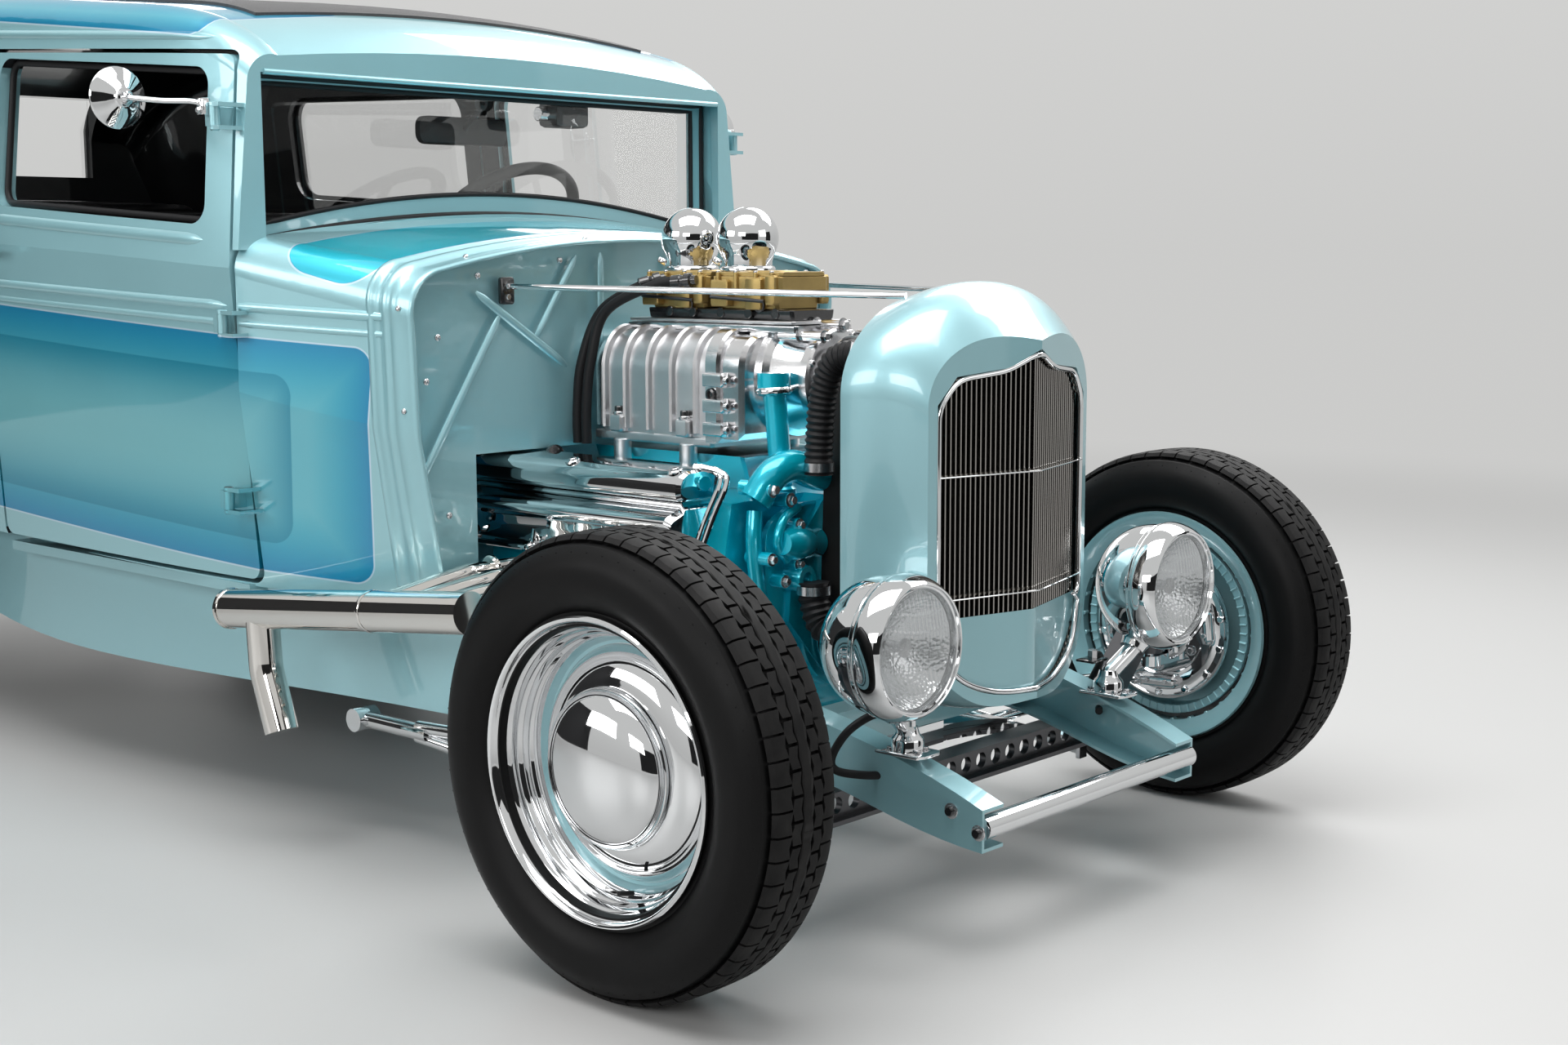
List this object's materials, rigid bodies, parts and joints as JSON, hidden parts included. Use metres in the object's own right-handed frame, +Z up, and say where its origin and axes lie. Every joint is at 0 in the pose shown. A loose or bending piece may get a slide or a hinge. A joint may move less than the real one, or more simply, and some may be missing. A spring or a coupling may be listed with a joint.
{
  "type": "street rod sedan",
  "caption": "Two-door chopped street rod sedan: open blown engine, upright vee grille, exposed front axle, hinged doors, steering road wheels.",
  "frame": {"origin": "on the ground below the middle of the car's box", "axes": "+X to the car's front, +Y to its left, +Z up"},
  "size_m": [3.595, 1.685, 1.5179],
  "materials": {
    "body_paint": "pearl gloss",
    "frame_paint": "gloss",
    "engine_paint": "metallic gloss",
    "chrome": "polished",
    "polished_alloy": "polished",
    "gold_casting": "satin",
    "dark_steel": "dark satin",
    "black_metal": "gloss",
    "bright_steel": "machined",
    "black_rubber": "matt",
    "tyre_rubber": "matt",
    "roof_cloth": "grained",
    "clear_glass": "clear",
    "lamp_glass": "ribbed",
    "red_glass": "glossy",
    "floor_black": "satin",
    "trim_black": "satin",
    "seat_leather": "stitched"
  },
  "bodies": {
    "chassis": {"air_scoops": "chrome", "blower": "polished_alloy", "blower_drive": "black_rubber", "body_shell": "body_paint", "carburettors": "gold_casting", "cowl": "body_paint", "crossmembers": "frame_paint", "dashboard": "trim_black", "engine_block": "engine_paint", "exhausts": "chrome", "floor": "floor_black", "frame": "frame_paint", "front_axle": "dark_steel", "front_suspension": "chrome", "fuel_tank": "floor_black", "grille": "dark_steel", "grille_shell": "body_paint", "headlamp_lenses": "lamp_glass", "headlamps": "chrome", "hoses": "black_rubber", "radiator": "black_metal", "rear_axle": "black_metal", "rear_suspension": "dark_steel", "roof_insert": "roof_cloth", "seats": "seat_leather", "spreader_bars": "chrome", "stay_rods": "chrome", "steering_column": "black_metal", "tail_lamps": "red_glass", "valve_covers": "chrome", "window_glass": "clear_glass", "windscreen_frame": "black_metal"},
    "knuckle_right": {"knuckle_right": "bright_steel"},
    "knuckle_left": {"knuckle_left": "bright_steel"},
    "wheel_front_right": {"tyre_front_right": "tyre_rubber", "wheel_front_right": "chrome"},
    "wheel_front_left": {"tyre_front_left": "tyre_rubber", "wheel_front_left": "chrome"},
    "wheel_rear_right": {"tyre_rear_right": "tyre_rubber", "wheel_rear_right": "chrome"},
    "wheel_rear_left": {"tyre_rear_left": "tyre_rubber", "wheel_rear_left": "chrome"},
    "tie_rod": {"tie_rod": "chrome"},
    "steering_wheel": {"steering_wheel": "trim_black"},
    "door_right": {"door_right": "body_paint", "mirror_right": "chrome"},
    "door_left": {"door_left": "body_paint", "mirror_left": "chrome"}
  },
  "joints": [
    {"name": "steering_wheel_turn", "type": "hinge", "parent": "chassis", "child": "steering_wheel", "pos_m": [0.0525, 0.31, 1.03], "axis": [-0.7071, 0, 0.7071], "range_deg": [-420, 420]},
    {"name": "steer_right", "type": "hinge", "parent": "chassis", "child": "knuckle_right", "pos_m": [1.4825, -0.59, 0.315], "axis": [0, 0, 1], "range_deg": [-28, 28]},
    {"name": "steer_left", "type": "hinge", "parent": "chassis", "child": "knuckle_left", "pos_m": [1.4825, 0.59, 0.315], "axis": [0, 0, 1], "range_deg": [-28, 28]},
    {"name": "tie_rod_swing", "type": "hinge", "parent": "knuckle_right", "child": "tie_rod", "pos_m": [1.3325, -0.59, 0.172], "axis": [0, 0, 1], "range_deg": [-28, 28]},
    {"name": "spin_front_right", "type": "hinge", "parent": "knuckle_right", "child": "wheel_front_right", "pos_m": [1.4825, -0.6965, 0.315], "axis": [0, 1, 0], "continuous": true},
    {"name": "spin_front_left", "type": "hinge", "parent": "knuckle_left", "child": "wheel_front_left", "pos_m": [1.4825, 0.6965, 0.315], "axis": [0, 1, 0], "continuous": true},
    {"name": "spin_rear_right", "type": "hinge", "parent": "chassis", "child": "wheel_rear_right", "pos_m": [-1.2095, -0.725, 0.362], "axis": [0, 1, 0], "continuous": true},
    {"name": "spin_rear_left", "type": "hinge", "parent": "chassis", "child": "wheel_rear_left", "pos_m": [-1.2095, 0.725, 0.362], "axis": [0, 1, 0], "continuous": true},
    {"name": "open_door_right", "type": "hinge", "parent": "chassis", "child": "door_right", "pos_m": [0.4415, -0.618, 0.869], "axis": [0, 0, 1], "range_deg": [0, 65]},
    {"name": "open_door_left", "type": "hinge", "parent": "chassis", "child": "door_left", "pos_m": [0.4415, 0.618, 0.869], "axis": [0, 0, -1], "range_deg": [0, 65]}
  ],
  "couplings": [
    {"joint": "steer_right", "follows": "steering_wheel_turn", "ratio": 0.066667},
    {"joint": "steer_left", "follows": "steering_wheel_turn", "ratio": 0.066667},
    {"joint": "tie_rod_swing", "follows": "steering_wheel_turn", "ratio": -0.066667}
  ]
}
